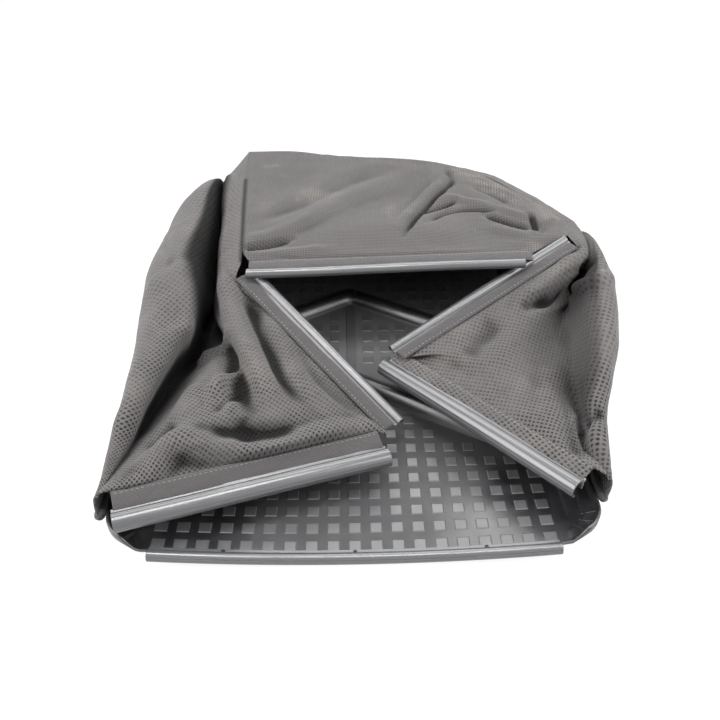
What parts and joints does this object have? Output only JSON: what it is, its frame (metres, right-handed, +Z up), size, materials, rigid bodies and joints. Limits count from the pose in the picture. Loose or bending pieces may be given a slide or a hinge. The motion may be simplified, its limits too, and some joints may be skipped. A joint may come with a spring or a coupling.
{
  "type": "mower grass collection bag",
  "caption": "Collapsed mesh grass bag on a ribbed plastic tray, with sewn-on C-channel clips round its open mouth.",
  "frame": {"origin": "middle of the tray's flat underside, on its long centre line", "axes": "+Z up, -Y out of the bag's open mouth, +Y to its closed rear, +X to the right seen from the mouth"},
  "size_m": [0.4798, 0.5294, 0.1133],
  "materials": {
    "tray_plastic": "glossy moulded black",
    "clip_plastic": "satin extruded dark grey",
    "rivet_steel": "blackened steel",
    "hem_tape": "close woven tape",
    "side_mesh": "coarse open polyester mesh",
    "top_weave": "fine dense weave"
  },
  "bodies": {
    "root": {"tray": "tray_plastic", "front_clip_rail": "clip_plastic", "front_rivet_left": "rivet_steel", "front_rivet_middle": "rivet_steel", "front_rivet_right": "rivet_steel", "left_lower_clip": "clip_plastic", "left_upper_clip": "clip_plastic", "right_lower_clip": "clip_plastic", "right_upper_clip": "clip_plastic", "top_clip": "clip_plastic", "left_lower_hem": "hem_tape", "left_upper_hem": "hem_tape", "right_lower_hem": "hem_tape", "right_upper_hem": "hem_tape", "top_hem": "hem_tape", "rim_roll": "hem_tape", "left_side_panel": "side_mesh", "right_side_panel": "side_mesh", "top_panel": "top_weave", "rear_panel": "side_mesh"}
  },
  "joints": []
}
